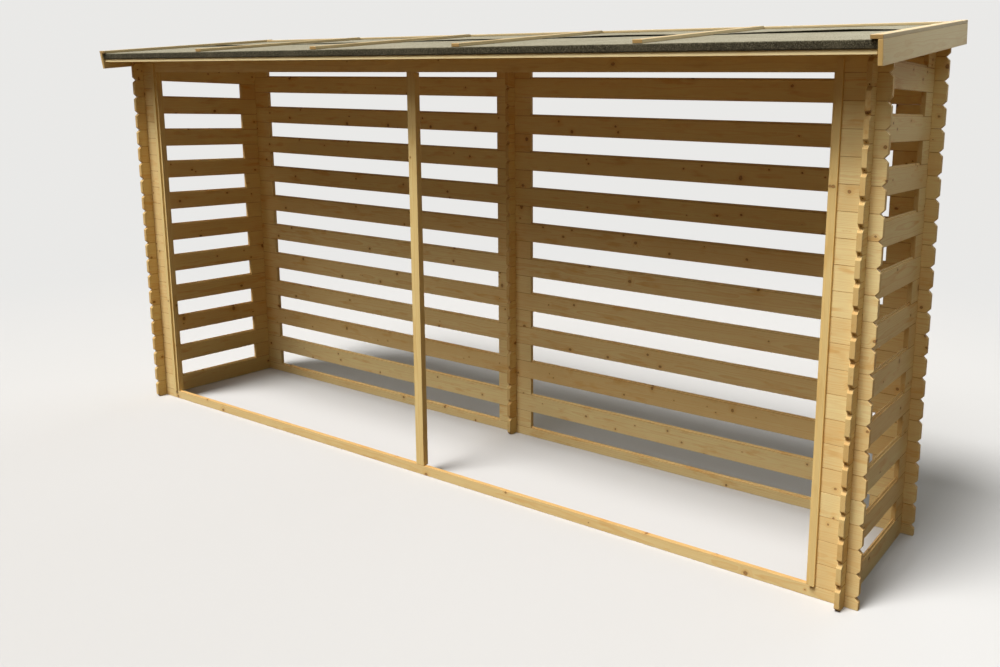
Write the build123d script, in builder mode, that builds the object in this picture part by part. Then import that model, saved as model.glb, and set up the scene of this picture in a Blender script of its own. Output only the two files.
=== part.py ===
from build123d import *
from math import atan, cos, sin
import os

os.makedirs("parts", exist_ok=True)

# Log board: every wall is laid from this one tongued and grooved section.
course = 88
board_t = 19
tongue_w = 6
tongue_h = 8
groove_w = 6.6
groove_h = 8.6
end_out = 50
end_chamfer = 14
play = 0.3

# Walls, over their outer faces, and how far the roof climbs over their depth.
wall_w = 4070
wall_d = 680
front_courses = 21
rise = 92

# Short blocks, measured inward from the outer face of the wall they cross.
return_in = 108
side_front_in = 88
side_rear_in = 110
back_in = 138
mid_reach = 107

# Front timbers. A lip on each trim stands proud of the wall and laps the header.
trim_w = 33
lip_w = 21
lip_out = 9
post_w = 48
post_t = 28

# Roof, laid out along its own slope.
deck_t = 16
deck_count = 48
verge_t = 16
verge_h = 77
verge_out = 66
eave_out = 169
eave_set = 10
rear_out = 155
fascia_t = 19
fascia_h = 40
fascia_gap = 4
felt_t = 2
felt_fold = 24
felt_edge = 350
felt_lap = 90
batten_w = 40
batten_t = 13
batten_count = 4
strip_t = 9

# Heights above the underside of the roof boards, and the tilt of the roof.
felt_z = deck_t + play
lap_z = felt_z + felt_t + play
cover_z = lap_z + felt_t + play
tilt = atan(rise / wall_d)

# The origin is on the ground under the middle of the whole outline.
front_y = -(wall_d + (rear_out - eave_out) * cos(tilt)
            + (verge_h - 2 * cover_z - batten_t) * sin(tilt)) / 2
back_y = front_y + wall_d
mid_y = front_y + wall_d / 2
wall_top = (front_courses + 0.5) * course
header_z = wall_top - course
corner_x = (wall_w - board_t) / 2
block_h = course - play
lap_w = board_t + 2 * play
lap_h = course / 2 + play
bevel = end_chamfer * 2 ** 0.5
side_run = wall_d - board_t - lap_w
back_run = corner_x - lap_w

# Course joints: those of the front and back lie half a course off the sides.
side_joints = [k * course for k in range(front_courses + 2)]
face_joints = [(k + 0.5) * course for k in range(front_courses + 2)]

front = Plane.XZ.offset(-front_y - board_t)
front_core = Plane.XZ.offset(-front_y - board_t / 2)
back = Plane.XZ.offset(-back_y)
back_core = Plane.XZ.offset(-back_y + board_t / 2)
roof = Plane(origin=(0, front_y, wall_top), x_dir=(1, 0, 0), z_dir=(0, -sin(tilt), cos(tilt)))
roof_side = Plane(origin=(0, front_y, wall_top), x_dir=(0, cos(tilt), sin(tilt)), z_dir=(1, 0, 0))
roof_under = roof.offset(-play)

# Front sill: half a board, lapped over by the lowest side boards.
with BuildPart() as front_sill:
    with BuildSketch(front):
        with Locations((0, (course / 2 - play) / 2)):
            Rectangle(wall_w + 2 * end_out, course / 2 - play)
        with Locations((0, (course - play) / 2)):
            with GridLocations(2 * corner_x, 0, 2, 1):
                Rectangle(lap_w, lap_h, mode=Mode.SUBTRACT)
            with GridLocations(wall_w + 2 * end_out, 0, 2, 1):
                Rectangle(bevel, bevel, rotation=45, mode=Mode.SUBTRACT)
    extrude(amount=board_t)
front_sill.part.label = "front_sill"
export_step(front_sill.part, "parts/front_sill.step")

# Front header: a whole board, grooved below and planed to the roof slope.
header_h = course + rise * board_t / wall_d
with BuildPart() as front_header:
    with BuildSketch(front):
        with Locations((0, header_z + header_h / 2)):
            Rectangle(wall_w + 2 * end_out, header_h)
        with Locations((0, header_z + course / 2)):
            with GridLocations(2 * corner_x, course, 2, 2):
                Rectangle(lap_w, lap_h, mode=Mode.SUBTRACT)
            with GridLocations(wall_w + 2 * end_out, course, 2, 2):
                Rectangle(bevel, bevel, rotation=45, mode=Mode.SUBTRACT)
    extrude(amount=board_t)
    with BuildSketch(front_core):
        with Locations((0, header_z + groove_h / 2)):
            Rectangle(2 * corner_x - lap_w, groove_h)
    extrude(amount=groove_w / 2, both=True, mode=Mode.SUBTRACT)
    split(bisect_by=roof_under, keep=Keep.BOTTOM)
front_header.part.label = "front_header"
export_step(front_header.part, "parts/front_header.step")

# Corner returns: short blocks from the trim out past each corner.
return_levels = face_joints[:front_courses - 1]
return_joints = face_joints[:front_courses]
return_len = return_in + end_out
for side, name in ((-1, "left_return"), (1, "right_return")):
    with BuildPart() as corner_return:
        with BuildSketch(front):
            with Locations(*[(side * (wall_w / 2 + end_out - return_len / 2), z + block_h / 2)
                             for z in return_levels]):
                Rectangle(return_len, block_h)
            with Locations(*[(side * corner_x, z - play / 2) for z in return_joints]):
                Rectangle(lap_w, lap_h, mode=Mode.SUBTRACT)
            with Locations(*[(side * (wall_w / 2 + end_out), z - play / 2) for z in return_joints]):
                Rectangle(bevel, bevel, rotation=45, mode=Mode.SUBTRACT)
        extrude(amount=board_t)
    corner_return.part.label = name
    export_step(corner_return.part, f"parts/{name}.step")

# Side walls: whole boards on every other course.
board_len = wall_d + 2 * end_out
for side, name in ((-1, "left_boards"), (1, "right_boards")):
    with BuildPart() as side_boards:
        with BuildSketch(Plane.YZ.offset(side * corner_x - board_t / 2)):
            with Locations(*[(mid_y, z + block_h / 2) for z in side_joints[:-1:2]]):
                Rectangle(board_len, block_h)
            with Locations(*[(mid_y, z - play / 2) for z in side_joints]):
                with GridLocations(wall_d - board_t, 0, 2, 1):
                    Rectangle(lap_w, lap_h, mode=Mode.SUBTRACT)
                with GridLocations(board_len, 0, 2, 1):
                    Rectangle(bevel, bevel, rotation=45, mode=Mode.SUBTRACT)
        extrude(amount=board_t)
        with BuildSketch(Plane.YZ.offset(side * corner_x)):
            with Locations(*[(mid_y, z + groove_h / 2) for z in side_joints[2:-1:2]]):
                Rectangle(side_run, groove_h)
        extrude(amount=groove_w / 2, both=True, mode=Mode.SUBTRACT)
        with BuildSketch(Plane.YZ.offset(side * corner_x)):
            with Locations(*[(mid_y, z + block_h + tongue_h / 2) for z in side_joints[:-1:2]]):
                Rectangle(side_run, tongue_h)
        extrude(amount=tongue_w / 2, both=True)
    side_boards.part.label = name
    export_step(side_boards.part, f"parts/{name}.step")

# Side wall blocks: they hold the gaps open at both ends of each side wall.
for side, name in ((-1, "left_blocks"), (1, "right_blocks")):
    with BuildPart() as side_blocks:
        with BuildSketch(Plane.YZ.offset(side * corner_x - board_t / 2)):
            with Locations(*[(front_y + (side_front_in - end_out) / 2, z + block_h / 2)
                             for z in side_joints[1::2]]):
                Rectangle(side_front_in + end_out, block_h)
            with Locations(*[(back_y - (side_rear_in - end_out) / 2, z + block_h / 2)
                             for z in side_joints[1::2] + side_joints[-1:]]):
                Rectangle(side_rear_in + end_out, block_h)
            with Locations(*[(mid_y, z - play / 2) for z in side_joints]):
                with GridLocations(wall_d - board_t, 0, 2, 1):
                    Rectangle(lap_w, lap_h, mode=Mode.SUBTRACT)
                with GridLocations(board_len, 0, 2, 1):
                    Rectangle(bevel, bevel, rotation=45, mode=Mode.SUBTRACT)
        extrude(amount=board_t)
        with BuildSketch(Plane.YZ.offset(side * corner_x)):
            with Locations(*[(mid_y, z + groove_h / 2) for z in side_joints[1::2]]):
                Rectangle(side_run, groove_h)
        extrude(amount=groove_w / 2, both=True, mode=Mode.SUBTRACT)
        split(bisect_by=roof_under, keep=Keep.BOTTOM)
    side_blocks.part.label = name
    export_step(side_blocks.part, f"parts/{name}.step")

# Back wall: half a board at the ground, then whole boards half a course off
# the sides, the top one planed to the roof slope.
back_len = wall_w + 2 * end_out
with BuildPart() as back_boards:
    with BuildSketch(back):
        with Locations((0, (course / 2 - play) / 2)):
            Rectangle(back_len, course / 2 - play)
        with Locations(*[(0, z + block_h / 2) for z in face_joints[1::2]]):
            Rectangle(back_len, block_h)
        with Locations(*[(0, z - play / 2) for z in face_joints]):
            with GridLocations(corner_x, 0, 3, 1):
                Rectangle(lap_w, lap_h, mode=Mode.SUBTRACT)
            with GridLocations(back_len, 0, 2, 1):
                Rectangle(bevel, bevel, rotation=45, mode=Mode.SUBTRACT)
    extrude(amount=board_t)
    with BuildSketch(back_core):
        with Locations(*[(0, z + groove_h / 2) for z in face_joints[1::2]]):
            with GridLocations(corner_x, 0, 2, 1):
                Rectangle(back_run, groove_h)
    extrude(amount=groove_w / 2, both=True, mode=Mode.SUBTRACT)
    with BuildSketch(back_core):
        with Locations(*[(0, z - play + tongue_h / 2) for z in face_joints[::2]]):
            with GridLocations(corner_x, 0, 2, 1):
                Rectangle(back_run, tongue_h)
    extrude(amount=tongue_w / 2, both=True)
    split(bisect_by=roof_under, keep=Keep.BOTTOM)
back_boards.part.label = "back_boards"
export_step(back_boards.part, "parts/back_boards.step")

# Back wall blocks: one at each corner and one across the stub in every gap.
with BuildPart() as back_blocks:
    with BuildSketch(back):
        with Locations(*[(0, z + block_h / 2) for z in face_joints[:-1:2]]):
            Rectangle(2 * mid_reach, block_h)
            with GridLocations(wall_w + end_out - back_in, 0, 2, 1):
                Rectangle(back_in + end_out, block_h)
        with Locations(*[(0, z - play / 2) for z in face_joints]):
            with GridLocations(corner_x, 0, 3, 1):
                Rectangle(lap_w, lap_h, mode=Mode.SUBTRACT)
            with GridLocations(back_len, 0, 2, 1):
                Rectangle(bevel, bevel, rotation=45, mode=Mode.SUBTRACT)
    extrude(amount=board_t)
    with BuildSketch(back_core):
        with Locations(*[(0, z + groove_h / 2) for z in face_joints[:-1:2]]):
            with GridLocations(corner_x, 0, 2, 1):
                Rectangle(back_run, groove_h)
    extrude(amount=groove_w / 2, both=True, mode=Mode.SUBTRACT)
back_blocks.part.label = "back_blocks"
export_step(back_blocks.part, "parts/back_blocks.step")

# Stub wall: short blocks crossing the middle of the back wall.
stub_y = back_y - board_t / 2
with BuildPart() as stub_wall:
    with BuildSketch(Plane.YZ.offset(-board_t / 2)):
        with Locations(*[(stub_y, z + block_h / 2) for z in side_joints]):
            Rectangle(board_t + 2 * end_out, block_h)
        with Locations(*[(stub_y, z - play / 2) for z in side_joints]):
            Rectangle(lap_w, lap_h, mode=Mode.SUBTRACT)
            with GridLocations(board_t + 2 * end_out, 0, 2, 1):
                Rectangle(bevel, bevel, rotation=45, mode=Mode.SUBTRACT)
    extrude(amount=board_t)
    split(bisect_by=roof_under, keep=Keep.BOTTOM)
stub_wall.part.label = "stub_wall"
export_step(stub_wall.part, "parts/stub_wall.step")

# Front trims at the inner ends of the returns. Body and lip stand on the sill;
# the body ends under the header and the lip goes on, half a course up its face.
trim_x = wall_w / 2 - return_in - play
body_h = header_z - course / 2 - play
lip_h = front_courses * course - course / 2
for side, name in ((-1, "left_trim"), (1, "right_trim")):
    with BuildPart() as trim:
        with BuildSketch(Plane.XY.offset(course / 2)):
            with Locations((side * (trim_x - trim_w / 2), front_y + post_t / 2)):
                Rectangle(trim_w, post_t)
            with Locations((side * (trim_x - lip_w / 2), front_y - play / 2)):
                Rectangle(lip_w, play)
        extrude(amount=body_h)
        with BuildSketch(Plane.XY.offset(course / 2)):
            with Locations((side * (trim_x - lip_w / 2), front_y - (lip_out + play) / 2)):
                Rectangle(lip_w, lip_out - play)
        extrude(amount=lip_h)
    trim.part.label = name
    export_step(trim.part, f"parts/{name}.step")

# Centre post, between the sill and the header.
with BuildPart() as centre_post:
    with Locations((0, front_y + post_t / 2, course / 2 + body_h / 2)):
        Box(post_w, post_t, body_h)
centre_post.part.label = "centre_post"
export_step(centre_post.part, "parts/centre_post.step")

# Roof boards, side by side from front to back, and the fascia on their ends.
deck_w = wall_w + 2 * (verge_out - verge_t - play)
deck_front = eave_set + felt_t + play + fascia_t + play - eave_out
roof_end = wall_d / cos(tilt) + rear_out
with BuildPart(roof) as roof_boards:
    with Locations((0, (deck_front + roof_end) / 2, deck_t / 2)):
        with GridLocations(deck_w / deck_count, 0, deck_count, 1):
            Box(deck_w / deck_count - play, roof_end - deck_front, deck_t)
roof_boards.part.label = "roof_boards"
export_step(roof_boards.part, "parts/roof_boards.step")

with BuildPart(roof) as front_fascia:
    with Locations((0, deck_front - play - fascia_t / 2, deck_t - fascia_h / 2)):
        Box(deck_w - 2 * fascia_gap, fascia_t, fascia_h)
front_fascia.part.label = "front_fascia"
export_step(front_fascia.part, "parts/front_fascia.step")

# Felt: the lower sheet turns down over the fascia, the upper sheet laps it.
fold_y = eave_set - eave_out
with BuildPart() as lower_felt:
    with BuildSketch(roof_side.offset(-deck_w / 2)):
        with BuildLine():
            Polyline((fold_y, felt_z + felt_t), (felt_edge + felt_lap, felt_z + felt_t),
                     (felt_edge + felt_lap, felt_z), (fold_y + felt_t, felt_z),
                     (fold_y + felt_t, deck_t - felt_fold), (fold_y, deck_t - felt_fold), close=True)
        make_face()
    extrude(amount=deck_w)
lower_felt.part.label = "lower_felt"
export_step(lower_felt.part, "parts/lower_felt.step")

lap_end = felt_edge + felt_lap + play
with BuildPart() as upper_felt:
    with BuildSketch(roof_side.offset(-deck_w / 2)):
        with BuildLine():
            Polyline((felt_edge, lap_z), (lap_end, lap_z), (lap_end + felt_t, felt_z), (roof_end, felt_z),
                     (roof_end, felt_z + felt_t), (lap_end + 2 * felt_t, felt_z + felt_t),
                     (lap_end + felt_t, lap_z + felt_t), (felt_edge, lap_z + felt_t), close=True)
        make_face()
    extrude(amount=deck_w)
upper_felt.part.label = "upper_felt"
export_step(upper_felt.part, "parts/upper_felt.step")

# Verges on the roof sides, with a batten over each.
roof_w = wall_w + 2 * verge_out
verge_mid = (roof_end - eave_out) / 2
for side, name in ((-1, "left"), (1, "right")):
    with BuildPart(roof) as verge:
        with Locations((side * (roof_w - verge_t) / 2, verge_mid, cover_z - play - verge_h / 2)):
            Box(verge_t, roof_end + eave_out, verge_h)
    verge.part.label = f"{name}_verge"
    export_step(verge.part, f"parts/{name}_verge.step")
    with BuildPart(roof) as edge_batten:
        with Locations((side * (roof_w - batten_w) / 2, verge_mid, cover_z + batten_t / 2)):
            Box(batten_w, roof_end + eave_out, batten_t)
    edge_batten.part.label = f"{name}_edge_batten"
    export_step(edge_batten.part, f"parts/{name}_edge_batten.step")

# Battens over the felt and the strip along the back edge.
batten_end = roof_end - batten_w - play
with BuildPart(roof) as roof_battens:
    with Locations((0, (fold_y + batten_end) / 2, cover_z + batten_t / 2)):
        with GridLocations((roof_w - batten_w) / (batten_count + 1), 0, batten_count, 1):
            Box(batten_w, batten_end - fold_y, batten_t)
roof_battens.part.label = "roof_battens"
export_step(roof_battens.part, "parts/roof_battens.step")

with BuildPart(roof) as rear_strip:
    with Locations((0, roof_end - batten_w / 2, cover_z + strip_t / 2)):
        Box(roof_w - 2 * batten_w - 2 * play, batten_w, strip_t)
rear_strip.part.label = "rear_strip"
export_step(rear_strip.part, "parts/rear_strip.step")
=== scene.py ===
import bpy
import bmesh
import math
import random
from mathutils import Matrix, Vector, noise


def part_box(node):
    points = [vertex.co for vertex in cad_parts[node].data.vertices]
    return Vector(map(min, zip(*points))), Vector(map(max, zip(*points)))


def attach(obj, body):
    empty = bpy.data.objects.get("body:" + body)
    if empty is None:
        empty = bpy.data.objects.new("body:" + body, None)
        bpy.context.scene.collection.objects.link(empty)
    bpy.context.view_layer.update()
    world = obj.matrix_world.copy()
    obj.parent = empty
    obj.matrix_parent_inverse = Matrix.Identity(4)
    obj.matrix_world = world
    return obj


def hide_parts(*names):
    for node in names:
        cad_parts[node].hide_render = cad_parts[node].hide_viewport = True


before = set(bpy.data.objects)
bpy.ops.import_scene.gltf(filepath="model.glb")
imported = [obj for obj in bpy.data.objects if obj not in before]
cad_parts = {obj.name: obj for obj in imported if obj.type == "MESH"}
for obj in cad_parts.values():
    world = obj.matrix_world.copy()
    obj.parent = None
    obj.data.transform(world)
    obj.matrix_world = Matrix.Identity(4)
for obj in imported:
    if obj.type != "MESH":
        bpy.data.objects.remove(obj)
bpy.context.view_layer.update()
print("frame loaded:", len(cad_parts), "nodes")


# Small helpers for node trees.
def addNode(tree, kind, inputs=None, **settings):
    node = tree.nodes.new(kind)
    for key, value in settings.items():
        setattr(node, key, value)
    for socket, value in (inputs or {}).items():
        if isinstance(value, bpy.types.NodeSocket):
            tree.links.new(value, node.inputs[socket])
        else:
            node.inputs[socket].default_value = value
    return node


def calc(tree, operation, a, b=0.0, c=0.0):
    return addNode(tree, "ShaderNodeMath", {0: a, 1: b, 2: c}, operation=operation).outputs[0]


def times(tree, a, b):
    return calc(tree, "MULTIPLY", a, b)


def between(tree, value, low, high, smooth=True):
    # 0 below low, 1 above high
    node = addNode(tree, "ShaderNodeMapRange",
                   {"Value": value, "From Min": low, "From Max": high},
                   interpolation_type="SMOOTHSTEP" if smooth else "LINEAR")
    return node.outputs["Result"]


def combine(tree, x, y, z=0.0):
    return addNode(tree, "ShaderNodeCombineXYZ", {0: x, 1: y, 2: z}).outputs[0]


def split(tree, vector):
    return addNode(tree, "ShaderNodeSeparateXYZ", {0: vector}).outputs


def cloud(tree, place, scale, detail):
    return addNode(tree, "ShaderNodeTexNoise",
                   {"Vector": place, "Scale": scale, "Detail": detail}).outputs


def blendColour(tree, share, a, b, blend="MIX"):
    # a colour mix has its factor in socket 0 and its two colours in 6 and 7
    inputs = {0: share}
    for socket, value in ((6, a), (7, b)):
        inputs[socket] = (*value, 1.0) if isinstance(value, tuple) else value
    return addNode(tree, "ShaderNodeMix", inputs, data_type="RGBA", blend_type=blend).outputs[2]


def newMaterial(name):
    material = bpy.data.materials.new(name)
    material.use_nodes = True
    material.node_tree.nodes.clear()
    return material, material.node_tree


def closeMaterial(tree, shader, output="ShaderNodeOutputMaterial"):
    tree.links.new(shader.outputs[0], addNode(tree, output).inputs[0])


# Sawn timber. Each board carries its own "grain" coordinates: metres along the board, and
# across it measured from the heart of the tree, so rings and knots run through the wood.
timberLook = {
    "ringWidth": 0.0034,
    "ringDrift": 2.6,           # how many rings uneven growth adds
    "ringBend": 1.1,            # how far a knot pushes the rings aside, in knot sizes
    "wander": 0.010,            # how far the rings stray along a board
    "slowAlong": 1.3,           # slow changes of the wood, for each metre along and across
    "slowAcross": 6.0,
    "resinAlong": 7.0,          # resin patches
    "resinAcross": 30.0,
    "fibreAlong": 9.0,          # fine fibres
    "fibreAcross": 620.0,
    "knotPitch": 0.30,          # metres of board between groups of knots
    "knotTurn": 0.9,            # groups of knots for each radian round the heart
    "knotSize": 0.060,          # knot radius for each metre out from the heart
    "smallestKnot": 0.0018,
    "knotSpread": (0.35, 0.9),  # the smallest share of that size, and what chance adds
    "knotLength": 0.78,         # under 1 makes knots longer along the board
    "raggedScale": 130.0,
    "raggedEdge": 0.0042,
    "paleShare": 0.55,          # how far the palest and the deepest boards depart
    "deepShare": 0.60,
    "paintedShadeTint": (0.56, 0.39, 0.23), # what the painted shade in a joint, or on a face that looks up, leaves of the colour
}


def timberMaterial(name, early, late, knot, endGrain, roughness, knotShare, ringShare):
    look = timberLook
    material, tree = newMaterial(name)
    grain = addNode(tree, "ShaderNodeAttribute", attribute_name="grain").outputs["Vector"]
    board, cut, paintedShade = [addNode(tree, "ShaderNodeAttribute", attribute_name=label).outputs["Fac"]
                        for label in ("board", "cut", "paintedShade")]
    along, y, z = split(tree, grain)

    # The heart wanders slowly along the board.
    slow = combine(tree, times(tree, along, look["slowAlong"]),
                   times(tree, y, look["slowAcross"]), times(tree, z, look["slowAcross"]))
    pull = split(tree, cloud(tree, slow, 1.0, 2.0)["Color"])
    stray = 2 * look["wander"]
    y = calc(tree, "MULTIPLY_ADD", calc(tree, "SUBTRACT", pull[0], 0.5), stray, y)
    z = calc(tree, "MULTIPLY_ADD", calc(tree, "SUBTRACT", pull[1], 0.5), stray, z)
    radius = calc(tree, "SQRT", calc(tree, "ADD", times(tree, y, y), times(tree, z, z)))
    angle = calc(tree, "ARCTAN2", z, y)

    # Knots grow outwards from the heart, so they sit on a grid of length and angle.
    cell = combine(tree, calc(tree, "DIVIDE", along, look["knotPitch"]),
                   times(tree, angle, look["knotTurn"]))
    spot = addNode(tree, "ShaderNodeTexVoronoi", {"Vector": cell, "Scale": 1.0},
                   voronoi_dimensions="2D").outputs
    away = split(tree, addNode(tree, "ShaderNodeVectorMath", {0: cell, 1: spot["Position"]},
                               operation="SUBTRACT").outputs[0])
    awayAlong = times(tree, away[0], look["knotPitch"])
    awayRound = times(tree, calc(tree, "DIVIDE", away[1], look["knotTurn"]), radius)
    ragged = cloud(tree, grain, look["raggedScale"], 3.0)["Fac"]
    awayAlong = times(tree, awayAlong, look["knotLength"])
    distance = calc(tree, "SQRT", calc(tree, "ADD", times(tree, awayAlong, awayAlong),
                                       times(tree, awayRound, awayRound)))
    distance = calc(tree, "MULTIPLY_ADD", calc(tree, "SUBTRACT", ragged, 0.5),
                    look["raggedEdge"], distance)
    chance = split(tree, spot["Color"])
    least, more = look["knotSpread"]
    size = calc(tree, "MULTIPLY_ADD", radius, look["knotSize"], look["smallestKnot"])
    size = times(tree, size, calc(tree, "MULTIPLY_ADD", chance[1], more, least))
    present = calc(tree, "LESS_THAN", chance[0], knotShare)
    reach = calc(tree, "DIVIDE", distance, size)
    knotCore = times(tree, between(tree, reach, 1.12, 0.88), present)
    knotRim = times(tree, times(tree, between(tree, reach, 1.6, 1.0),
                                between(tree, reach, 0.55, 0.95)), present)
    halo = times(tree, between(tree, reach, 5.0, 1.0), present)

    # Growth rings: pale early wood that darkens into a thin late band, some rings more than others.
    bent = calc(tree, "MULTIPLY_ADD", times(tree, halo, size), look["ringBend"], radius)
    rings = calc(tree, "DIVIDE", bent, look["ringWidth"])
    uneven = cloud(tree, slow, 3.5, 3.0)["Fac"]
    rings = calc(tree, "MULTIPLY_ADD", uneven, look["ringDrift"], rings)
    inRing = calc(tree, "FRACT", rings)
    ringTone = addNode(tree, "ShaderNodeTexWhiteNoise", {"W": calc(tree, "FLOOR", rings)},
                       noise_dimensions="1D").outputs["Value"]
    lateWood = times(tree, between(tree, inRing, 0.25, 0.86), between(tree, inRing, 1.0, 0.93))
    lateWood = times(tree, lateWood, calc(tree, "MULTIPLY_ADD", ringTone, 0.6, 0.3))

    # Fine fibres, slow patches of tone, and resin.
    stretched = combine(tree, times(tree, along, look["fibreAlong"]),
                        times(tree, y, look["fibreAcross"]), times(tree, z, look["fibreAcross"]))
    fibre = cloud(tree, stretched, 1.0, 3.0)["Fac"]
    patches = cloud(tree, slow, 2.2, 2.0)["Fac"]
    nearby = combine(tree, times(tree, along, look["resinAlong"]),
                     times(tree, y, look["resinAcross"]), times(tree, z, look["resinAcross"]))
    resin = cloud(tree, nearby, 1.0, 3.0)["Fac"]

    deep = tuple(e * 0.4 + l * 0.6 for e, l in zip(early, late))
    pale = between(tree, board, 0.55, 0.0, smooth=False)
    dark = between(tree, board, 0.45, 1.0, smooth=False)
    colour = blendColour(tree, times(tree, lateWood, ringShare), early, late)
    colour = blendColour(tree, between(tree, patches, 0.35, 0.75), colour,
                         blendColour(tree, 0.35, colour, deep))
    # Some boards are pale and even, some deep; resin tints patches of both.
    for share, amount, tone in (
            (pale, look["paleShare"], early),
            (dark, look["deepShare"], deep),
            (between(tree, resin, 0.54, 0.74), 0.55, late),
            (between(tree, fibre, 0.45, 0.8), 0.22, late),
            (halo, 0.34, late),
            (knotCore, 0.72, knot),
            (knotRim, 0.45, tuple(k * 0.6 for k in knot))):
        colour = blendColour(tree, times(tree, share, amount), colour, tone)
    # Cut ends are a little duller, and painted shade darkens the joints between boards and the
    # faces that look up.
    colour = blendColour(tree, between(tree, cut, 0.25, 0.9), colour, endGrain, "MULTIPLY")
    colour = blendColour(tree, paintedShade, colour, look["paintedShadeTint"], "MULTIPLY")

    relief = calc(tree, "ADD", times(tree, lateWood, 0.35), times(tree, fibre, 0.8))
    bump = addNode(tree, "ShaderNodeBump", {"Strength": 0.35, "Distance": 0.0006, "Height": relief})
    rough = calc(tree, "MULTIPLY_ADD", fibre, 0.16, roughness - 0.08)
    closeMaterial(tree, addNode(tree, "ShaderNodeBsdfPrincipled", {
        "Base Color": colour, "Roughness": rough, "Normal": bump.outputs[0],
        "Specular IOR Level": 0.2}))
    return material


timberKinds = {
    "wallTimber": {"early": (0.97, 0.82, 0.44), "late": (0.77, 0.44, 0.13),
                   "knot": (0.30, 0.11, 0.03), "endGrain": (0.84, 0.76, 0.65),
                   "roughness": 0.62, "knotShare": 0.72, "ringShare": 0.55},
    "planedTimber": {"early": (0.96, 0.77, 0.37), "late": (0.77, 0.51, 0.18),
                     "knot": (0.36, 0.15, 0.045), "endGrain": (0.93, 0.90, 0.88),
                     "roughness": 0.55, "knotShare": 0.3, "ringShare": 0.75},
    "eaveTimber": {"early": (0.97, 0.84, 0.50), "late": (0.82, 0.58, 0.24),
                   "knot": (0.42, 0.20, 0.07), "endGrain": (0.84, 0.70, 0.50),
                   "roughness": 0.55, "knotShare": 0.25, "ringShare": 0.5},
    "paleTimber": {"early": (0.70, 0.59, 0.37), "late": (0.58, 0.43, 0.21),
                   "knot": (0.33, 0.17, 0.07), "endGrain": (0.88, 0.70, 0.46),
                   "roughness": 0.58, "knotShare": 0.15, "ringShare": 0.6},
    "roofTimber": {"early": (0.74, 0.53, 0.24), "late": (0.55, 0.33, 0.11),
                   "knot": (0.24, 0.10, 0.03), "endGrain": (0.90, 0.83, 0.77),
                   "roughness": 0.7, "knotShare": 0.6, "ringShare": 0.85},
}
timber = {name: timberMaterial(name, **kind) for name, kind in timberKinds.items()}


# Mineral felt: stone granules pressed into bitumen; faces lying flat are painted paler as a painted
# sheen, and upright faces darker as painted shade.
feltLook = {
    "granule": 0.0024,
    "clump": 0.005,
    "wear": 5.0,                # worn patches for each metre
    "base": ((0.078, 0.070, 0.042), (0.29, 0.272, 0.20)),    # upright, with painted shade, and lying flat, with a painted sheen
    "pale": ((0.20, 0.184, 0.125), (0.40, 0.375, 0.29)),
    "dark": ((0.024, 0.020, 0.012), (0.17, 0.155, 0.105)),
}


def feltMaterial(name):
    look = feltLook
    material, tree = newMaterial(name)
    place = addNode(tree, "ShaderNodeTexCoord").outputs["Object"]
    grit = addNode(tree, "ShaderNodeTexVoronoi",
                   {"Vector": place, "Scale": 1 / look["granule"]}).outputs
    tint = split(tree, grit["Color"])
    clump = cloud(tree, place, 1 / look["clump"], 3.0)["Fac"]
    wear = cloud(tree, place, look["wear"], 4.0)["Fac"]
    up = split(tree, addNode(tree, "ShaderNodeNewGeometry").outputs["Normal"])[2]
    # painted sheen on faces that lie flat, painted shade on upright ones
    paintedLight = between(tree, up, 0.35, 0.97)
    base, pale, dark = [blendColour(tree, paintedLight, *look[tone]) for tone in ("base", "pale", "dark")]
    colour = blendColour(tree, between(tree, tint[0], 0.62, 0.9), base, pale)
    colour = blendColour(tree, between(tree, tint[1], 0.6, 0.95), colour, dark)
    colour = blendColour(tree, between(tree, clump, 0.48, 0.7), colour, dark)
    colour = blendColour(tree, times(tree, between(tree, wear, 0.45, 0.75), 0.35), colour, pale)
    bumps = calc(tree, "SUBTRACT", 1.0, grit["Distance"])
    bump = addNode(tree, "ShaderNodeBump", {"Strength": 0.6, "Distance": 0.0008, "Height": bumps})
    closeMaterial(tree, addNode(tree, "ShaderNodeBsdfPrincipled", {
        "Base Color": colour, "Roughness": 0.88, "Normal": bump.outputs[0],
        "Specular IOR Level": 0.25}))
    return material


def steelMaterial(name):
    material, tree = newMaterial(name)
    place = addNode(tree, "ShaderNodeTexCoord").outputs["Object"]
    dull = cloud(tree, place, 700.0, 2.0)["Fac"]
    colour = blendColour(tree, between(tree, dull, 0.35, 0.7),
                         (0.42, 0.41, 0.39), (0.24, 0.22, 0.20))
    rough = calc(tree, "MULTIPLY_ADD", dull, 0.3, 0.3)
    closeMaterial(tree, addNode(tree, "ShaderNodeBsdfPrincipled", {
        "Base Color": colour, "Roughness": rough, "Metallic": 0.8}))
    return material


roofFelt = feltMaterial("roofFelt")
nailSteel = steelMaterial("nailSteel")
print("materials made")


# The roof's own directions, read from the largest faces of its boards.
roofUp = max(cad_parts["roof_boards"].data.polygons,
             key=lambda face: face.area * face.normal.z).normal.copy()
upSlope = Vector((1, 0, 0)).cross(roofUp) * -1.0
upSlope.y, upSlope.z = abs(upSlope.y), abs(upSlope.z)


def roofBox(node):
    # lowest and highest (x, up the slope, out of the roof) of a node
    points = [(v.co.x, v.co.dot(upSlope), v.co.dot(roofUp))
              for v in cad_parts[node].data.vertices]
    return [[end(p[i] for p in points) for i in range(3)] for end in (min, max)]


def roofPoint(x, along, out):
    return Vector((x, 0, 0)) + upSlope * along + roofUp * out


def standPiece(name, mesh):
    piece = bpy.data.objects.new(name, mesh)
    bpy.context.scene.collection.objects.link(piece)
    return piece


def plainMesh(piece):
    # turns what the modifiers make into the piece's own mesh
    bpy.context.view_layer.update()
    made = bpy.data.meshes.new_from_object(
        piece.evaluated_get(bpy.context.evaluated_depsgraph_get()))
    piece.modifiers.clear()
    piece.data = made


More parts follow.
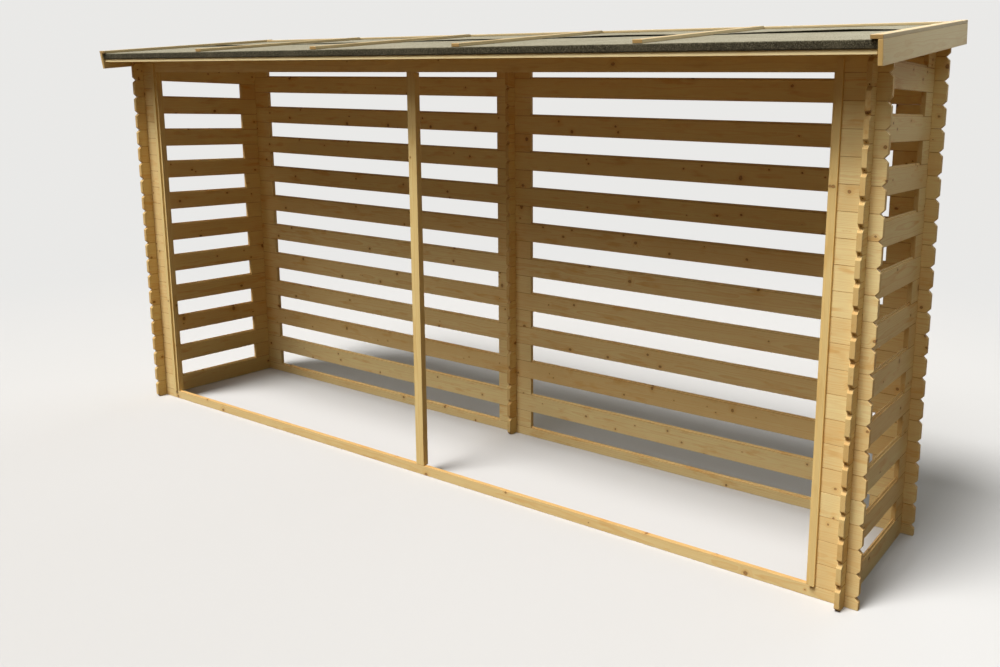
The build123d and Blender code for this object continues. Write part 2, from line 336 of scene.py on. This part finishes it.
# Boards: an eased copy of each timber node, with the grain laid along every board in it.
boardLook = {
    "ease": 0.0012,             # radius of the planed edges
    "shortest": 0.004,          # edges shorter than this stay sharp
    "sharpest": 30.0,           # and so do those that turn less than this, in degrees
    "heart": (0.022, 0.055),    # how far the heart of the tree lies off a board's wide face
    "heartAside": 0.022,
    "trunk": 40.0,              # metres of grain that the boards are cut from
    "deeper": {"left_return": 0.6, "left_trim": 0.2, "right_trim": 0.75, "right_boards": 0.35,
               "front_sill": -0.8, "centre_post": -0.5},   # below 0 paler, above 0 yellower; right_boards is deepened as painted shade on the right wall
    "paintedTopShade": {"wallTimber": 0.64, "paleTimber": 0.42}, # how much painted shade darkens what faces up
    "jointShadeLeast": 0.45,          # painted shade in the joints, from this share of it up to all
    "dripTop": 0.0006,          # the eave strip stands out below the felt, from here
    "dripLip": 0.0021,          # down to here,
    "dripStep": 0.0015,         # by this much,
    "dripFoot": 0.0035,         # and by this much at its foot, so that it hangs upright
    "bevelArea": 0.0002,        # the bevel of a tip is larger than this
    "grooveHalf": 0.0026,       # groove that shows in the lower bevel of a tip
    "grooveStart": 0.0030,
    "grooveEnd": 0.0110,
    "grooveDeep": 0.010,
}


def openGrooves(source, alongAxis, grainLayer, boardLayer):
    # The groove under each board runs out through the lower bevel of its tips.
    look = boardLook
    aside = alongAxis.cross(Vector((0, 0, 1)))
    made = []
    bevels = [f for f in source.faces if len(f.verts) == 4 and -0.8 < f.normal.z < -0.6
              and abs(f.normal.dot(alongAxis)) > 0.6 and f.calc_area() > look["bevelArea"]]
    for face in bevels:
        slope = face.normal.cross(aside)
        if slope.z < 0:
            slope = -slope
        inward = alongAxis * (-1 if face.normal.dot(alongAxis) > 0 else 1)
        outer = [loop.vert for loop in face.loops]
        centre = face.calc_center_median()
        low = min((v.co - centre).dot(slope) for v in outer)
        near, far = [], []
        for vert in outer:
            away = vert.co - centre
            up = low + (look["grooveStart"] if away.dot(slope) < 0 else look["grooveEnd"])
            across = look["grooveHalf"] * (1 if away.dot(aside) > 0 else -1)
            place = centre + slope * up + aside * across
            for ring, spot in ((near, place), (far, place + inward * look["grooveDeep"])):
                new = source.verts.new(spot)
                step = spot - vert.co
                new[grainLayer] = vert[grainLayer] + Vector((step.dot(alongAxis), step.dot(aside),
                                                             step.z))
                new[boardLayer] = vert[boardLayer]
                ring.append(new)
        source.faces.remove(face)
        for i in range(4):
            j = (i + 1) % 4
            source.faces.new((outer[i], outer[j], near[j], near[i]))
            made.append(source.faces.new((near[i], near[j], far[j], far[i])))
        made.append(source.faces.new(far))
    return made


def dripEdge(source):
    # Below the felt the eave strip stands a little proud, and sheds the rain.
    look = boardLook
    front = min(v.co.dot(upSlope) for v in source.verts)
    feltFoot = roofBox("lower_felt")[0][2]
    top, lip = feltFoot - look["dripTop"], feltFoot - look["dripLip"]
    for cut in (top, lip):
        bmesh.ops.bisect_plane(source, geom=source.verts[:] + source.edges[:] + source.faces[:],
                               dist=1e-6, plane_co=roofPoint(0, 0, cut), plane_no=roofUp)
    foot = min(v.co.dot(roofUp) for v in source.verts)
    for vert in source.verts:
        out = vert.co.dot(roofUp)
        if vert.co.dot(upSlope) < front + 1e-5 and out < (top + lip) / 2:
            share = (lip - out) / (lip - foot)
            vert.co -= upSlope * (look["dripStep"] * (1 - share) + look["dripFoot"] * share)


def islands(source):
    # the vertices of each solid, in the order of the mesh
    seen = set()
    for start in source.verts:
        if start in seen:
            continue
        island, stack = [], [start]
        seen.add(start)
        while stack:
            vert = stack.pop()
            island.append(vert)
            for edge in vert.link_edges:
                other = edge.other_vert(vert)
                if other not in seen:
                    seen.add(other)
                    stack.append(other)
        yield island


def layGrain(source, node, axes, grainLayer, boardLayer):
    look = boardLook
    rng = random.Random(node)
    along, aside, up = axes
    for island in islands(source):
        centre = sum((v.co for v in island), Vector()) / len(island)
        wide, thick = [max(abs((v.co - centre).dot(axis)) for v in island) for axis in (up, aside)]
        off = rng.choice((-1, 1)) * rng.uniform(*look["heart"])
        side = rng.uniform(-look["heartAside"], look["heartAside"])
        start = rng.uniform(0, look["trunk"])
        shift = Vector((start, off, side) if thick < wide else (start, side, off))
        dark = look["deeper"].get(node, 0.0)
        tone = dark + (1 - dark) * rng.random()
        for vert in island:
            local = vert.co - centre
            vert[grainLayer] = Vector((local.dot(along), local.dot(aside), local.dot(up))) + shift
            vert[boardLayer] = tone


def easedBoards(name, node, alongAxis, material, slot):
    look = boardLook
    logBoards = slot == "wall_timber"
    source = bmesh.new()
    source.from_mesh(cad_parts[node].data)
    bmesh.ops.remove_doubles(source, verts=source.verts, dist=1e-5)
    bmesh.ops.dissolve_limit(source, angle_limit=math.radians(1),
                             verts=source.verts, edges=source.edges)
    if node == "front_fascia":
        dripEdge(source)
    grainLayer = source.verts.layers.float_vector.new("grain")
    boardLayer = source.verts.layers.float.new("board")
    up = roofUp if alongAxis == upSlope else alongY if alongAxis == alongZ else alongZ
    layGrain(source, node, (alongAxis, alongAxis.cross(up), up), grainLayer, boardLayer)

    cutLayer = source.faces.layers.float.new("cut")
    paintedShadeLayer = source.faces.layers.float.new("paintedShade")
    sharp = [e for e in source.edges if len(e.link_faces) == 2 and e.is_convex
             and e.calc_face_angle() > math.radians(look["sharpest"])
             and e.calc_length() > look["shortest"]]
    eased = bmesh.ops.bevel(source, geom=sharp, offset=look["ease"], segments=1, profile=0.5,
                            affect="EDGES", clamp_overlap=True)["faces"]
    # the eased edges along each log board get painted shade, darkening the joints between boards
    paintedLight = [f for f in eased if abs(f.normal.dot(alongAxis)) < 0.2] if logBoards else []
    source.normal_update()
    if logBoards:
        # the faces of the grooves get painted shade as well
        paintedLight += openGrooves(source, alongAxis, grainLayer, boardLayer)
    source.normal_update()
    for face in source.faces:
        face[cutLayer] = abs(face.normal.dot(alongAxis))
        face.smooth = False
    for face in paintedLight:
        # the board's tone picks how much painted shade lies in its joints
        chance = face.verts[0][boardLayer] * 9.7 % 1
        face[paintedShadeLayer] = look["jointShadeLeast"] + (1 - look["jointShadeLeast"]) * chance
    # faces that look up are darkened with painted shade
    paintedTopShade = look["paintedTopShade"].get(material.name, 0.0)
    for face in source.faces:
        if face.normal.z > 0.5:
            face[paintedShadeLayer] = max(face[paintedShadeLayer], paintedTopShade * face.normal.z)
    mesh = bpy.data.meshes.new(name)
    source.to_mesh(mesh)
    source.free()
    mesh.materials.append(material)
    piece = standPiece(name, mesh)
    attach(piece, "root")
    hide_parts(node)


alongX, alongY, alongZ = Vector((1, 0, 0)), Vector((0, 1, 0)), Vector((0, 0, 1))
boardPieces = [
    ("frontSill", "front_sill", alongX, "wallTimber", "wall_timber"),
    ("frontHeader", "front_header", alongX, "planedTimber", "wall_timber"),
    ("leftReturn", "left_return", alongX, "wallTimber", "wall_timber"),
    ("rightReturn", "right_return", alongX, "wallTimber", "wall_timber"),
    ("leftBoards", "left_boards", alongY, "wallTimber", "wall_timber"),
    ("rightBoards", "right_boards", alongY, "wallTimber", "wall_timber"),
    ("leftBlocks", "left_blocks", alongY, "wallTimber", "wall_timber"),
    ("rightBlocks", "right_blocks", alongY, "wallTimber", "wall_timber"),
    ("backBoards", "back_boards", alongX, "wallTimber", "wall_timber"),
    ("backBlocks", "back_blocks", alongX, "wallTimber", "wall_timber"),
    ("stubWall", "stub_wall", alongY, "wallTimber", "wall_timber"),
    ("leftTrim", "left_trim", alongZ, "planedTimber", "planed_timber"),
    ("rightTrim", "right_trim", alongZ, "planedTimber", "planed_timber"),
    ("centrePost", "centre_post", alongZ, "planedTimber", "planed_timber"),
    ("roofBoards", "roof_boards", upSlope, "roofTimber", "roof_timber"),
    ("frontFascia", "front_fascia", alongX, "eaveTimber", "planed_timber"),
    ("leftVerge", "left_verge", upSlope, "eaveTimber", "planed_timber"),
    ("rightVerge", "right_verge", upSlope, "eaveTimber", "planed_timber"),
    ("leftEdgeBatten", "left_edge_batten", upSlope, "paleTimber", "planed_timber"),
    ("rightEdgeBatten", "right_edge_batten", upSlope, "paleTimber", "planed_timber"),
    ("roofBattens", "roof_battens", upSlope, "paleTimber", "planed_timber"),
    ("rearStrip", "rear_strip", alongX, "paleTimber", "planed_timber"),
]
for name, node, alongAxis, kind, slot in boardPieces:
    easedBoards(name, node, alongAxis, timber[kind], slot)
print("boards dressed:", len(boardPieces))


# Felt: two limp sheets nailed down by the battens, free to lift a little between them.
feltSheet = {
    "thick": 0.002,
    "bays": 5,                  # free spans between the battens
    "stepX": 0.012,
    "foldSteps": 5,             # rows down the eave, round its turn, up the slope and up the lap
    "turnSteps": 6,
    "slopeSteps": 40,
    "lapSteps": 56,
    "foldRadius": 0.003,        # the turn over the eave
    "foldLoose": 0.0007,        # how far the free edge below the turn strays
    "foldWave": 0.0012,
    "settle": 0.05,             # how far from the turn the sheet lies tight
    "bulge": 0.0016,            # how far the lower sheet rises between the battens
    "play": 0.0003,             # between the two sheets
    "lapStep": 0.012,           # how far the upper sheet takes to come down behind the lap
    "lift": 0.0085,             # how far the lap's front edge rises at most
    "liftLeast": 0.45,          # the smallest share of it in a bay
    "liftSeed": 90,
    "liftReach": 0.075,         # how far up the slope that lift dies out
    "ripple": 0.0008,
    "sink": 0.0002,             # how far a ripple goes down at most
}


def sheetFromRows(name, rows):
    mesh = bpy.data.meshes.new(name)
    width = len(rows[0])
    faces = [(r * width + c, r * width + c + 1, (r + 1) * width + c + 1, (r + 1) * width + c)
             for r in range(len(rows) - 1) for c in range(width - 1)]
    mesh.from_pydata([p for row in rows for p in row], [], faces)
    mesh.update()
    piece = standPiece(name, mesh)
    solid = piece.modifiers.new("thickness", "SOLIDIFY")
    solid.thickness = feltSheet["thick"]
    solid.offset = -1.0
    solid.use_even_offset = True
    plainMesh(piece)
    piece.data.name = name
    for face in piece.data.polygons:
        face.use_smooth = True
    piece.data.materials.append(roofFelt)
    return piece


def ripples(x, y, z):
    return noise.noise(Vector((x, y, z)))


battenLow, battenHigh = roofBox("roof_battens")
leftEdge, rightEdge = roofBox("left_edge_batten"), roofBox("right_edge_batten")
battenWidth = leftEdge[1][0] - leftEdge[0][0]
firstBatten, lastBatten = [(low[0] + high[0]) / 2 for low, high in (leftEdge, rightEdge)]
bayCount = feltSheet["bays"]
bayWidth = (lastBatten - firstBatten) / bayCount


def freeSpan(x):
    # 0 under a batten, 1 in the middle between two, and the number of the bay
    place = (x - firstBatten) / bayWidth
    bay = min(max(int(place), 0), bayCount - 1)
    hidden = battenWidth / 2 / bayWidth
    inside = min(max((place - bay - hidden) / (1 - 2 * hidden), 0.0), 1.0)
    return math.sin(math.pi * inside), bay


lowerLow, lowerHigh = roofBox("lower_felt")
upperLow, upperHigh = roofBox("upper_felt")
columnCount = int((lowerHigh[0] - lowerLow[0]) / feltSheet["stepX"])
columns = [lowerLow[0] + (lowerHigh[0] - lowerLow[0]) * i / columnCount
           for i in range(columnCount + 1)]


def lowerRows():
    look = feltSheet
    turn, eave, top = look["foldRadius"], lowerLow[1], lowerHigh[2]
    fall, run = top - lowerLow[2] - turn, lowerHigh[1] - eave - turn
    route = []      # (up the slope, out of the roof, how freely the edge moves)
    for i in range(look["foldSteps"]):
        share = i / look["foldSteps"]
        route.append((eave, lowerLow[2] + fall * share, 1.0 - share))
    for i in range(look["turnSteps"] + 1):
        bend = math.pi / 2 * i / look["turnSteps"]
        route.append((eave + turn * (1 - math.cos(bend)), top - turn * (1 - math.sin(bend)), 0.0))
    flat = len(route)
    for i in range(1, look["slopeSteps"] + 1):
        route.append((eave + turn + run * i / look["slopeSteps"], top, 0.0))
    rows = []
    for number, (along, out, loose) in enumerate(route):
        row = []
        for x in columns:
            if number < flat:
                flutter = ripples(x * 11.0, 7.0, 0.0)
                row.append(roofPoint(x, along - loose * look["foldLoose"] * (0.5 + flutter),
                                     out + loose * look["foldWave"] * flutter))
            else:
                ripple = ripples(x * 5.0, along * 4.0, 3.0)
                settled = min(1.0, (along - eave - turn) / look["settle"])
                rise = settled * look["bulge"] * freeSpan(x)[0] * (0.45 + 0.55 * ripple)
                row.append(roofPoint(x, along, out + rise))
        rows.append(row)
    return rows


def upperRows():
    look = feltSheet
    front, length = upperLow[1], upperHigh[1] - upperLow[1]
    lying = upperHigh[2] - look["thick"] - look["play"]
    liftOf = [random.Random(look["liftSeed"] + bay).uniform(look["liftLeast"], 1.0)
              for bay in range(bayCount - 1)] + [1.0]
    rows = []
    for i in range(look["lapSteps"] + 1):
        along = front + length * (i / look["lapSteps"]) ** 1.5
        over = min(max((along - lowerHigh[1]) / look["lapStep"], 0.0), 1.0)
        over = over * over * (3 - 2 * over)
        out = upperHigh[2] * (1 - over) + lying * over
        fade = max(0.0, 1 - (along - front) / look["liftReach"]) ** 2
        row = []
        for x in columns:
            free, bay = freeSpan(x)
            wave = 0.75 + 0.5 * ripples(x * 3.0, 1.0, 5.0)
            ripple = look["ripple"] * free * ripples(x * 5.0, along * 6.0, 9.0)
            lift = look["lift"] * liftOf[bay] * free ** 0.7 * fade * wave
            row.append(roofPoint(x, along, out + lift + max(ripple, -look["sink"])))
        rows.append(row)
    return rows


# The rows run down the slope, so that the faces look outward.
for name, node, rows in (("lowerFelt", "lower_felt", lowerRows()),
                         ("upperFelt", "upper_felt", upperRows())):
    piece = sheetFromRows(name, rows[::-1])
    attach(piece, "root")
    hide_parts(node)
print("felt laid")


# Nails: one head, instanced on every nail place with its own turn.
nailLook = {
    "headRadius": 0.0028,
    "headRise": 0.0004,
    "topShare": 0.82,           # radius of the head's flat top, as a share
    "sides": 10,
    "seed": 4,
    "placeSeed": 17,
    "fromEnd": 0.03,            # first nail from the end of a batten
    "pitch": 0.17,
    "stripFromEnd": 0.05,
    "stripCount": 20,
    "strayAlong": 0.006,
    "strayAcross": 0.003,
    "strayStrip": 0.004,
}


def nailPlaces():
    look = nailLook
    rng = random.Random(look["placeSeed"])
    places = []

    def alongBatten(x, low, high):
        start, end = low[1] + look["fromEnd"], high[1] - look["fromEnd"]
        count = max(2, round((end - start) / look["pitch"]) + 1)
        for i in range(count):
            stray = rng.uniform(-look["strayAlong"], look["strayAlong"])
            along = start + (end - start) * i / (count - 1) + stray
            across = x + rng.uniform(-look["strayAcross"], look["strayAcross"])
            places.append(roofPoint(across, along, high[2]))

    for i in range(1, bayCount):
        alongBatten(firstBatten + bayWidth * i, battenLow, battenHigh)
    for low, high in (leftEdge, rightEdge):
        alongBatten((low[0] + high[0]) / 2, low, high)
    low, high = roofBox("rear_strip")
    start, end = low[0] + look["stripFromEnd"], high[0] - look["stripFromEnd"]
    for i in range(look["stripCount"]):
        x = start + (end - start) * i / (look["stripCount"] - 1)
        along = (low[1] + high[1]) / 2 + rng.uniform(-look["strayStrip"], look["strayStrip"])
        places.append(roofPoint(x, along, high[2]))
    return places


def nailHeads(name, places):
    look = nailLook
    carrier = bpy.data.meshes.new(name)
    carrier.from_pydata(places, [], [])
    piece = standPiece(name, carrier)

    tree = bpy.data.node_groups.new("nailHeads", "GeometryNodeTree")
    sockets = tree.interface
    sockets.new_socket("Geometry", in_out="INPUT", socket_type="NodeSocketGeometry")
    sizes = {}
    for label, kind in (("Head Radius", "NodeSocketFloat"), ("Head Rise", "NodeSocketFloat"),
                        ("Facing", "NodeSocketVector"), ("Seed", "NodeSocketInt")):
        sizes[label] = sockets.new_socket(label, in_out="INPUT", socket_type=kind).identifier
    sockets.new_socket("Geometry", in_out="OUTPUT", socket_type="NodeSocketGeometry")
    entry, leave = tree.nodes.new("NodeGroupInput"), tree.nodes.new("NodeGroupOutput")
    given = entry.outputs

    top = calc(tree, "MULTIPLY", given["Head Radius"], look["topShare"])
    head = addNode(tree, "GeometryNodeMeshCone", {
        "Vertices": look["sides"], "Side Segments": 1, "Radius Top": top,
        "Radius Bottom": given["Head Radius"], "Depth": given["Head Rise"]}, fill_type="NGON")
    turned = addNode(tree, "FunctionNodeAlignRotationToVector", {"Vector": given["Facing"]},
                     axis="Z")
    # sockets 3 and 1 of a random value are its highest float and its float result
    spin = addNode(tree, "FunctionNodeRandomValue", {3: 6.283, "Seed": given["Seed"]},
                   data_type="FLOAT")
    spinTurn = addNode(tree, "FunctionNodeAxisAngleToRotation", {"Angle": spin.outputs[1]})
    both = addNode(tree, "FunctionNodeRotateRotation",
                   {0: turned.outputs[0], 1: spinTurn.outputs[0]}, rotation_space="LOCAL")
    spread = addNode(tree, "GeometryNodeInstanceOnPoints", {
        "Points": given["Geometry"], "Instance": head.outputs["Mesh"],
        "Rotation": both.outputs[0]})
    real = addNode(tree, "GeometryNodeRealizeInstances", {0: spread.outputs[0]})
    steel = addNode(tree, "GeometryNodeSetMaterial",
                    {"Geometry": real.outputs[0], "Material": nailSteel})
    tree.links.new(steel.outputs[0], leave.inputs[0])

    modifier = piece.modifiers.new("nails", "NODES")
    modifier.node_group = tree
    modifier[sizes["Head Radius"]] = look["headRadius"]
    modifier[sizes["Head Rise"]] = look["headRise"]
    modifier[sizes["Facing"]] = list(roofUp)
    modifier[sizes["Seed"]] = look["seed"]
    plainMesh(piece)
    return piece


nails = nailHeads("nailHeads", nailPlaces())
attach(nails, "root")
print("nails driven:", len(nails.data.polygons) // (nailLook["sides"] + 2))


# Pale studio floor that melts into the backdrop a few metres away. Seen directly it is pale;
# the light it throws back is kept low, so the bays stay in shade.
stageLook = {
    "floorSize": 60.0,
    "meltFrom": 2.4,
    "meltTo": 6.5,
    "backdrop": (0.82, 0.815, 0.80),
    "floor": (0.575, 0.585, 0.61),
    "floorBounce": (0.090, 0.058, 0.028),
    "fill": (1.0, 0.80, 0.52),
    "fillStrength": 0.085,
}


def seenDirectly(tree):
    ray = addNode(tree, "ShaderNodeLightPath").outputs
    mirrored = calc(tree, "MAXIMUM", ray["Is Glossy Ray"], ray["Is Transmission Ray"])
    return calc(tree, "MAXIMUM", ray["Is Camera Ray"], mirrored)


size = stageLook["floorSize"]
floorMesh = bpy.data.meshes.new("floor")
floorMesh.from_pydata([(-size, -size, 0), (size, -size, 0), (size, size, 0), (-size, size, 0)],
                      [], [(0, 1, 2, 3)])
floor = standPiece("floor", floorMesh)
floorPaint, tree = newMaterial("floorPaint")
seen = seenDirectly(tree)
place = addNode(tree, "ShaderNodeTexCoord").outputs["Object"]
away = addNode(tree, "ShaderNodeVectorMath", {0: place}, operation="LENGTH").outputs["Value"]
melt = times(tree, between(tree, away, stageLook["meltFrom"], stageLook["meltTo"]), seen)
shade = blendColour(tree, seen, stageLook["floorBounce"], stageLook["floor"])
paint = addNode(tree, "ShaderNodeBsdfPrincipled",
                {"Base Color": shade, "Roughness": 0.9, "Specular IOR Level": 0.0})
haze = addNode(tree, "ShaderNodeEmission", {"Color": (*stageLook["backdrop"], 1.0)})
closeMaterial(tree, addNode(tree, "ShaderNodeMixShader",
                            {0: melt, 1: paint.outputs[0], 2: haze.outputs[0]}))
floorMesh.materials.append(floorPaint)

world = bpy.data.worlds.new("studio")
world.use_nodes = True
tree = world.node_tree
tree.nodes.clear()
seen = seenDirectly(tree)
fill = stageLook["fillStrength"]
closeMaterial(tree, addNode(tree, "ShaderNodeBackground", {
    "Color": blendColour(tree, seen, stageLook["fill"], stageLook["backdrop"]),
    "Strength": calc(tree, "MULTIPLY_ADD", seen, 1.0 - fill, fill)}), "ShaderNodeOutputWorld")
bpy.context.scene.world = world

# A key light high in front with a broad sky about it, a weaker light from behind, and a soft
# box over the right side.
lampLook = {
    "key": {"towards": (0.13, 0.355, -0.926), "strength": 3.25, "spread": 18.0,
            "colour": (1.0, 0.965, 0.90)},
    "sky": {"towards": (0.16, 0.53, -0.833), "strength": 1.40, "spread": 38.0,
            "colour": (1.0, 0.965, 0.90)},
    "back": {"towards": (-0.05, -0.90, -0.43), "strength": 0.85, "spread": 50.0,
             "colour": (0.95, 1.0, 1.0)},
    "side": {"place": (2.7, -0.1, 3.2), "aim": (2.0, 0.0, 1.7), "size": (2.0, 0.7),
             "power": 7.5, "colour": (0.90, 0.98, 1.0)},
}


def hangLamp(name, kind, towards, colour):
    lamp = bpy.data.lights.new(name, kind)
    lamp.color = colour
    holder = standPiece(name, lamp)
    holder.rotation_euler = Vector(towards).to_track_quat("-Z", "Y").to_euler()
    return lamp, holder


for name in ("key", "sky", "back"):
    look = lampLook[name]
    lamp, holder = hangLamp(name + "Light", "SUN", look["towards"], look["colour"])
    lamp.energy = look["strength"]
    lamp.angle = math.radians(look["spread"])
look = lampLook["side"]
lamp, holder = hangLamp("sideLight", "AREA", Vector(look["aim"]) - Vector(look["place"]),
                        look["colour"])
lamp.shape = "RECTANGLE"
lamp.size, lamp.size_y = look["size"]
lamp.energy = look["power"]
holder.location = look["place"]
holder.visible_camera = False
print("stage lit")


# Camera at the photograph's viewing angle; its optical centre lies right of and above the middle.
cameraView = {
    "right": 2.946, "before": 2.772, "height": 1.673,        # from the middle of the front wall
    "yaw": -0.537, "pitch": -0.175, "roll": 0.025,
    "focal": 897.6, "centreX": 667.9, "centreY": 268.6,      # pixels, in a frame of 1000 by 667
    "frameW": 1000, "frameH": 667,
    "sensor": 36.0, "farthest": 200.0,
}
view = cameraView
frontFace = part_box("front_sill")[0].y
yaw, pitch, roll = view["yaw"], view["pitch"], view["roll"]
ahead = Vector((math.sin(yaw) * math.cos(pitch), math.cos(yaw) * math.cos(pitch), math.sin(pitch)))
level = Vector((math.cos(yaw), -math.sin(yaw), 0))
above = level.cross(ahead)
right = level * math.cos(roll) + above * math.sin(roll)
above = above * math.cos(roll) - level * math.sin(roll)
lens = bpy.data.cameras.new("photoCamera")
lens.sensor_width = view["sensor"]
lens.lens = view["focal"] / view["frameW"] * view["sensor"]
lens.shift_x = (view["frameW"] / 2 - view["centreX"]) / view["frameW"]
lens.shift_y = (view["centreY"] - view["frameH"] / 2) / view["frameW"]
lens.clip_end = view["farthest"]
camera = standPiece("photoCamera", lens)
place = Matrix.Translation((view["right"], frontFace - view["before"], view["height"]))
camera.matrix_world = place @ Matrix((right, above, -ahead)).transposed().to_4x4()
bpy.context.scene.camera = camera

bpy.context.scene.view_settings.view_transform = "Standard"
print("scene ready")
